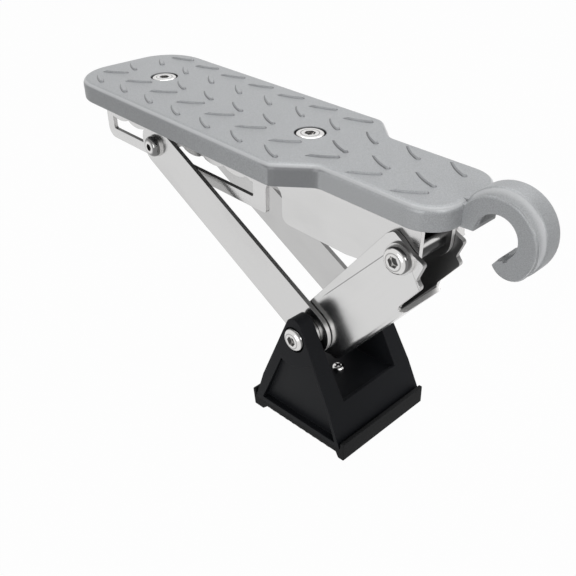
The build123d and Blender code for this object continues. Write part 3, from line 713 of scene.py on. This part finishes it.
# %% Stand and join
def on_side(point, y, away):
    """Where a shape drawn upwards stands on a plane square to Y, pointing away from it."""
    return Matrix.Translation((point.x, y, point.z)) @ Matrix.Rotation(-away * math.pi / 2, 4, "X")


def stand(shape, place):
    shape.data.transform(place)
    return shape


def join(name, parts, body):
    """One smooth piece from several shapes, which rides on a body and takes its finish from a slot."""
    bpy.ops.object.select_all(action="DESELECT")
    for part in parts:
        part.select_set(True)
    bpy.context.view_layer.objects.active = parts[0]
    if len(parts) > 1:
        bpy.ops.object.join()
    whole = parts[0]
    whole.name = name
    work = bmesh.new()
    work.from_mesh(whole.data)
    bmesh.ops.remove_doubles(work, verts=work.verts, dist=1e-7)
    bmesh.ops.recalc_face_normals(work, faces=work.faces)
    work.to_mesh(whole.data)
    work.free()
    whole.data.shade_smooth()
    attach(whole, body)
    print(name, len(whole.data.polygons), "faces on", body)
    return whole


print("tools ready")

# %% [markdown]
# ## Threads
# CAD leaves the bolts plain, because a real thread is thousands of small faces. What is seen is only the turn that
# stands out of each nut, so a thin ridge follows a spiral there. The numbers kept for each thread are the radius of
# its ridge, its turns and its pitch.


# %% Thread
def thread(name, radius, turns, pitch):
    rule = Rule(name)
    ridge_at = rule.size("Ridge radius", radius)
    count = rule.size("Turns", float(turns))
    height = rule.size("Height", turns * pitch)
    thick = rule.size("Ridge thickness", pitch * 0.30)
    path = rule.node(
        "GeometryNodeCurveSpiral",
        {},
        {"Resolution": 28, "Rotations": count, "Start Radius": ridge_at, "End Radius": ridge_at, "Height": height},
    )
    profile = rule.node("GeometryNodeCurvePrimitiveCircle", {}, {"Resolution": 6, "Radius": thick})
    return rule.make(name, rule.swept(path, profile, True), STEEL)


M6_THREAD = (0.00295, 1, 0.0006)
M5_THREAD = (0.00245, 1, 0.0005)
print("thread pitch", M6_THREAD[2], "and", M5_THREAD[2])

# %% [markdown]
# ## Nylon rings
# A lock nut holds by a ring of nylon in its collar. Its edges are round, so a circle is swept round a circle and
# then scaled along the axis. The numbers kept for each ring are its inner and outer radius and its height.


# %% Nylon ring
def nylon_ring(name, inner, outer, height):
    rule = Rule(name)
    middle = rule.size("Middle radius", (inner + outer) / 2)
    half = rule.size("Half width", (outer - inner) / 2)
    lift = rule.size("Flatness", height / (outer - inner) * 2)
    path = rule.node("GeometryNodeCurvePrimitiveCircle", {}, {"Resolution": 48, "Radius": middle})
    profile = rule.node("GeometryNodeCurvePrimitiveCircle", {}, {"Resolution": 10, "Radius": half})
    ring = {"Geometry": rule.swept(path, profile), "Scale": rule.vector(1.0, 1.0, lift)}
    flat = rule.node("GeometryNodeTransform", {}, ring)
    return rule.make(name, flat.outputs[0], NYLON)


M6_RING = (0.0031, 0.0041, 0.0006)
M5_RING = (0.0026, 0.0034, 0.0005)
print("ring width", round(M6_RING[1] - M6_RING[0], 4))

# %% [markdown]
# ## On the bolts
# The leg's bolt and the strut pin end on the far side, and the two deck screws end downwards, inside the bracket.
# Each thread starts just outside its nut, and each ring lies in the nut's end.

# %% Place the threads and rings
M6_NUT_H = 0.005
M5_NUT_H = 0.0046
LEG_NUT_Y = 0.0136
PIN_NUT_Y = 0.0158
NUT_SEAT_Z = -0.0031
THREAD_START = 0.0002

leg_nut_top = LEG_NUT_Y + M6_NUT_H
pin_nut_top = PIN_NUT_Y + M5_NUT_H
deck_threads = [stand(thread("leg bolt thread", *M6_THREAD), on_side(LEG_PIVOT, leg_nut_top + THREAD_START, 1))]
deck_rings = [stand(nylon_ring("leg nut ring", *M6_RING), on_side(LEG_PIVOT, leg_nut_top, 1))]
for x in SCREWS_X:
    end = Matrix.Translation((x, 0, NUT_SEAT_Z - M6_NUT_H - THREAD_START)) @ Matrix.Rotation(math.pi, 4, "X")
    collar = Matrix.Translation((x, 0, NUT_SEAT_Z - M6_NUT_H))
    deck_threads.append(stand(thread("bracket screw thread", *M6_THREAD), end))
    deck_rings.append(stand(nylon_ring("bracket nut ring", *M6_RING), collar))
join("deck_threads", deck_threads, "deck")
join("deck_nylon_rings", deck_rings, "deck")
pin_thread = stand(thread("pin thread", *M5_THREAD), on_side(STRUT_PIN, pin_nut_top + THREAD_START, 1))
join("strut_pin_thread", [pin_thread], "struts")
pin_ring = stand(nylon_ring("pin ring", *M5_RING), on_side(STRUT_PIN, pin_nut_top, 1))
join("strut_pin_nylon_ring", [pin_ring], "struts")

# %% [markdown]
# ## Grip ribs in the hook
# The hook's inside has faint ribs along Y where it closes on the striker, near the lip and on the lug. One tree
# makes them: a row of points on an arc, with a thin rod half sunk in the wall at each. The lip ends in a shallow
# groove, and the ribs there lie on the groove's floor. Each row's numbers are its first angle, its step, its count
# and its radius.


# %% Hook ribs
HOOK_RIB_R = 0.00022
HOOK_RIB_LENGTH = 0.0104
WALL_R = 0.00772
GROOVE_R = 0.00832


def hook_ribs(name, first_deg, step_deg, count, radius):
    rule = Rule(name)
    at = rule.size("Arc radius", radius)
    number = rule.size("Ribs", count, "NodeSocketInt")
    first = rule.size("First angle", math.radians(first_deg))
    step = rule.size("Step", math.radians(step_deg))
    length = rule.size("Length", HOOK_RIB_LENGTH)
    thick = rule.size("Rib radius", HOOK_RIB_R)
    row = rule.node("GeometryNodePoints", {}, {"Count": number})
    index = rule.node("GeometryNodeInputIndex").outputs[0]
    angle = rule.maths("MULTIPLY_ADD", index, step, first)
    x = rule.maths("MULTIPLY", rule.maths("COSINE", angle), at)
    z = rule.maths("MULTIPLY", rule.maths("SINE", angle), at)
    arc = {"Geometry": row.outputs[0], "Position": rule.vector(x, 0.0, z)}
    placed = rule.node("GeometryNodeSetPosition", {}, arc)
    rod = rule.node("GeometryNodeMeshCylinder", {}, {"Vertices": 8, "Radius": thick, "Depth": length})
    along_y = {"Geometry": rod.outputs["Mesh"], "Rotation": (math.pi / 2, 0, 0)}
    lying = rule.node("GeometryNodeTransform", {}, along_y)
    return rule.make(name, rule.repeated(placed, lying), PAINT)


RIB_ROWS = {
    "lip ribs": (-64.0, -4.0, 4, WALL_R),
    "groove ribs": (-50.5, -3.5, 3, GROOVE_R),
    "wall ribs": (-44.0, 4.0, 4, WALL_R),
    "lug ribs": (176.0, -5.0, 6, WALL_R),
}
hook_rows = [hook_ribs(name, *row) for name, row in RIB_ROWS.items()]
join("hook_grip_ribs", hook_rows, "deck")

# %% [markdown]
# ## Ribs under the pad
# The sole is set back between its two rims, and carries a row of cross ribs, so that it doesn't slip. They are a box
# on each point of a line, drawn in the foot's own frame and tilted with it.


# %% Pad ribs
def pad_ribs(name, count, pitch, length, width, height):
    rule = Rule(name)
    number = rule.size("Ribs", count, "NodeSocketInt")
    gap = rule.size("Pitch", pitch)
    first = rule.size("First rib", -pitch * (count - 1) / 2)
    thick = rule.size("Rib width", width)
    long = rule.size("Rib length", length)
    tall = rule.size("Rib height", height)
    line = {"Count": number, "Start Location": rule.vector(first), "Offset": rule.vector(gap)}
    row = rule.node("GeometryNodeMeshLine", {}, line)
    box = rule.node("GeometryNodeMeshCube", {}, {"Size": rule.vector(thick, long, tall)})
    return rule.make(name, rule.repeated(row, box), RUBBER)


SOLE_Z = -0.0443
SOLE_AHEAD = 0.001
RIB_COUNT = 9
RIB_PITCH = 0.0042
RIB_LENGTH = 0.0500
RIB_WIDTH = 0.0016
RIB_H = 0.0014
RIB_SUNK = 0.0001
foot_place = Matrix.Translation(FOOT_PIVOT) @ Matrix.Rotation(-FOOT_TILT, 4, "Y")
under_sole = Matrix.Translation((SOLE_AHEAD, 0, SOLE_Z - RIB_H / 2 + RIB_SUNK))
sole_ribs = pad_ribs("sole ribs", RIB_COUNT, RIB_PITCH, RIB_LENGTH, RIB_WIDTH, RIB_H)
stand(sole_ribs, foot_place @ under_sole)
join("pad_sole_ribs", [sole_ribs], "foot").data.shade_flat()

# %% [markdown]
# ## Die marks under the tread
# A die-cast plate shows round ejector marks on its hidden side, in two rows beside the bracket. They are flat discs
# on the points of a grid, so one drawn disc serves for all eight.


# %% Die marks
def die_marks(name, columns, pitch, row_y, radius):
    rule = Rule(name)
    size = rule.size("Mark radius", radius)
    thick = rule.size("Mark height", MARK_H)
    long = rule.size("Row length", pitch * (columns - 1))
    apart = rule.size("Rows apart", 2 * row_y)
    rows = {"Size X": long, "Size Y": apart, "Vertices X": columns, "Vertices Y": 2}
    grid = rule.node("GeometryNodeMeshGrid", {}, rows)
    disc = rule.node("GeometryNodeMeshCylinder", {}, {"Vertices": 28, "Radius": size, "Depth": thick})
    return rule.make(name, rule.repeated(grid, disc), PAINT)


MARK_R = 0.0026
MARK_H = 0.0004
MARK_PITCH = 0.034
MARK_ROW_Y = 0.021
MARKS_MIDDLE_X = -0.140
PLATE_BOTTOM_Z = -0.0011
marks = die_marks("ejector marks", 4, MARK_PITCH, MARK_ROW_Y, MARK_R)
stand(marks, Matrix.Translation((MARKS_MIDDLE_X, 0, PLATE_BOTTOM_Z)))
join("ejector_marks", [marks], "deck").data.shade_flat()

# %% [markdown]
# ## The studio around it
# Polished metal is only as good as what it mirrors. The camera, mirrors and glass see a pure white surround, and the
# light that falls on things is a dim ramp, brighter from above than from below. One strength for both would either
# burn the paint out or turn the background grey.


# %% World
def seen_share(nodes, links):
    """1 for rays from the camera, from a mirror or through glass, and 0 for the light that falls on things."""
    rays = nodes.new("ShaderNodeLightPath")
    total = rays.outputs["Is Camera Ray"]
    for name in ("Is Glossy Ray", "Is Transmission Ray"):
        more = nodes.new("ShaderNodeMath")
        more.operation = "MAXIMUM"
        links.new(total, more.inputs[0])
        links.new(rays.outputs[name], more.inputs[1])
        total = more.outputs[0]
    return total


def surround(levels):
    world = bpy.data.worlds.new("white studio")
    bpy.context.scene.world = world
    world.use_nodes = True
    tree = world.node_tree
    seen = tree.nodes["Background"]
    seen.inputs["Color"].default_value = (1, 1, 1, 1)
    seen.inputs["Strength"].default_value = 1.0
    lit = tree.nodes.new("ShaderNodeBackground")
    where = tree.nodes.new("ShaderNodeTexCoord")
    split = tree.nodes.new("ShaderNodeSeparateXYZ")
    height = tree.nodes.new("ShaderNodeMapRange")
    height.inputs["From Min"].default_value = -1.0
    ramp = tree.nodes.new("ShaderNodeValToRGB")
    tree.links.new(where.outputs["Generated"], split.inputs[0])
    tree.links.new(split.outputs["Z"], height.inputs["Value"])
    tree.links.new(height.outputs[0], ramp.inputs[0])
    stops = ramp.color_ramp.elements
    stops.new(0.5)
    for stop, level in zip(stops, levels):
        stop.color = (level, level, level, 1)
    lit.inputs["Strength"].default_value = 1.0
    tree.links.new(ramp.outputs[0], lit.inputs["Color"])
    pick = tree.nodes.new("ShaderNodeMixShader")
    tree.links.new(seen_share(tree.nodes, tree.links), pick.inputs[0])
    tree.links.new(lit.outputs[0], pick.inputs[1])
    tree.links.new(seen.outputs[0], pick.inputs[2])
    tree.links.new(pick.outputs[0], tree.nodes["World Output"].inputs["Surface"])


LIGHT_BELOW_LEVEL_ABOVE = (0.02, 0.06, 0.34)
surround(LIGHT_BELOW_LEVEL_ABOVE)
print("world ready")

# %% [markdown]
# ## The floor
# A plain pale floor lies just under the pad. What the camera sees of it is nearly all its own white, with a
# trace of the step's shadow. It is the stage, not part of the step.

# %% Floor
FLOOR_Z = -0.1205
FLOOR_REACH = 4.0
OWN_WHITE = 0.98


def pale_floor():
    look = Look("pale floor")
    glow = look.node("Emission", {}, {"Color": (1, 1, 1, 1), "Strength": 1.0})
    share = Num(look, seen_share(look.tree.nodes, look.tree.links)) * OWN_WHITE
    paper = look.noise(look.place(), 3.0)
    look.finish(Base_Color=look.mix(paper, grey(0.28), grey(0.32)), Roughness=0.9 + paper * 0.05)
    both = look.node("MixShader", {}, {0: share, 1: look.shader.outputs[0], 2: glow.outputs[0]})
    look.tree.links.new(both.outputs[0], look.tree.nodes["Material Output"].inputs["Surface"])
    return look.material


sheet = bpy.data.meshes.new("floor")
corners = [(x * FLOOR_REACH, y * FLOOR_REACH, FLOOR_Z) for x, y in ((-1, -1), (1, -1), (1, 1), (-1, 1))]
sheet.from_pydata(corners, [], [(0, 1, 2, 3)])
sheet.materials.append(pale_floor())
floor = bpy.data.objects.new("floor", sheet)
bpy.context.scene.collection.objects.link(floor)
print("floor at", FLOOR_Z)

# %% [markdown]
# ## Panels of light
# Three soft panels model the forms: a large one above, a weak one on the near side, and one ahead of the hook that
# lights the inside of its curve. Small lamps would do the same with hard shadows and burnt spots.


# %% Panels of light
def panel(name, place, aim, side, watts, spread=180):
    data = bpy.data.lights.new(name, "AREA")
    data.shape = "RECTANGLE"
    data.size = data.size_y = side
    data.energy = watts
    data.spread = math.radians(spread)
    lamp = bpy.data.objects.new(name, data)
    bpy.context.scene.collection.objects.link(lamp)
    lamp.location = place
    lamp.rotation_euler = (Vector(aim) - Vector(place)).to_track_quat("-Z", "Y").to_euler()


STEP_MIDDLE = (-0.10, 0.0, -0.04)
PLATE_FRONT = (-0.03, -0.03, -0.01)
HOOK = (0.0, 0.0, 0.0)
panel("top panel", (-0.20, 0.25, 0.75), STEP_MIDDLE, side=0.9, watts=5.3)
panel("near panel", (0.05, -0.75, 0.06), PLATE_FRONT, side=0.4, watts=0.35, spread=60)
panel("hook panel", (0.75, -0.15, 0.35), HOOK, side=0.3, watts=2.2)

# %% [markdown]
# ## Camera
# The camera stands where the photograph was taken from: 179 mm to the near side and 106 mm above the hook. Its
# place, its two angles and its lens come from a fit to the step's own edges and seats, which beats moving it by
# eye.

# %% Camera
PHOTO_EYE = (0.09075, -0.17927, 0.10630)
LOOKING_DOWN = 33.98
TURNED_LEFT = 46.506
LENS = 43.645

view = bpy.data.cameras.new("photo camera")
camera = bpy.data.objects.new("photo camera", view)
bpy.context.scene.collection.objects.link(camera)
camera.location = PHOTO_EYE
camera.rotation_euler = (math.radians(90 - LOOKING_DOWN), 0, math.radians(TURNED_LEFT))
view.lens = LENS
view.sensor_width = 36.0
view.clip_start = 0.01
bpy.context.scene.camera = camera
bpy.context.scene.view_settings.view_transform = "Standard"
print("camera at", tuple(round(v, 3) for v in camera.location))

# %% [markdown]
# ## Finish
# The scene is brought up to date once more.

# %% Finish
bpy.context.view_layer.update()
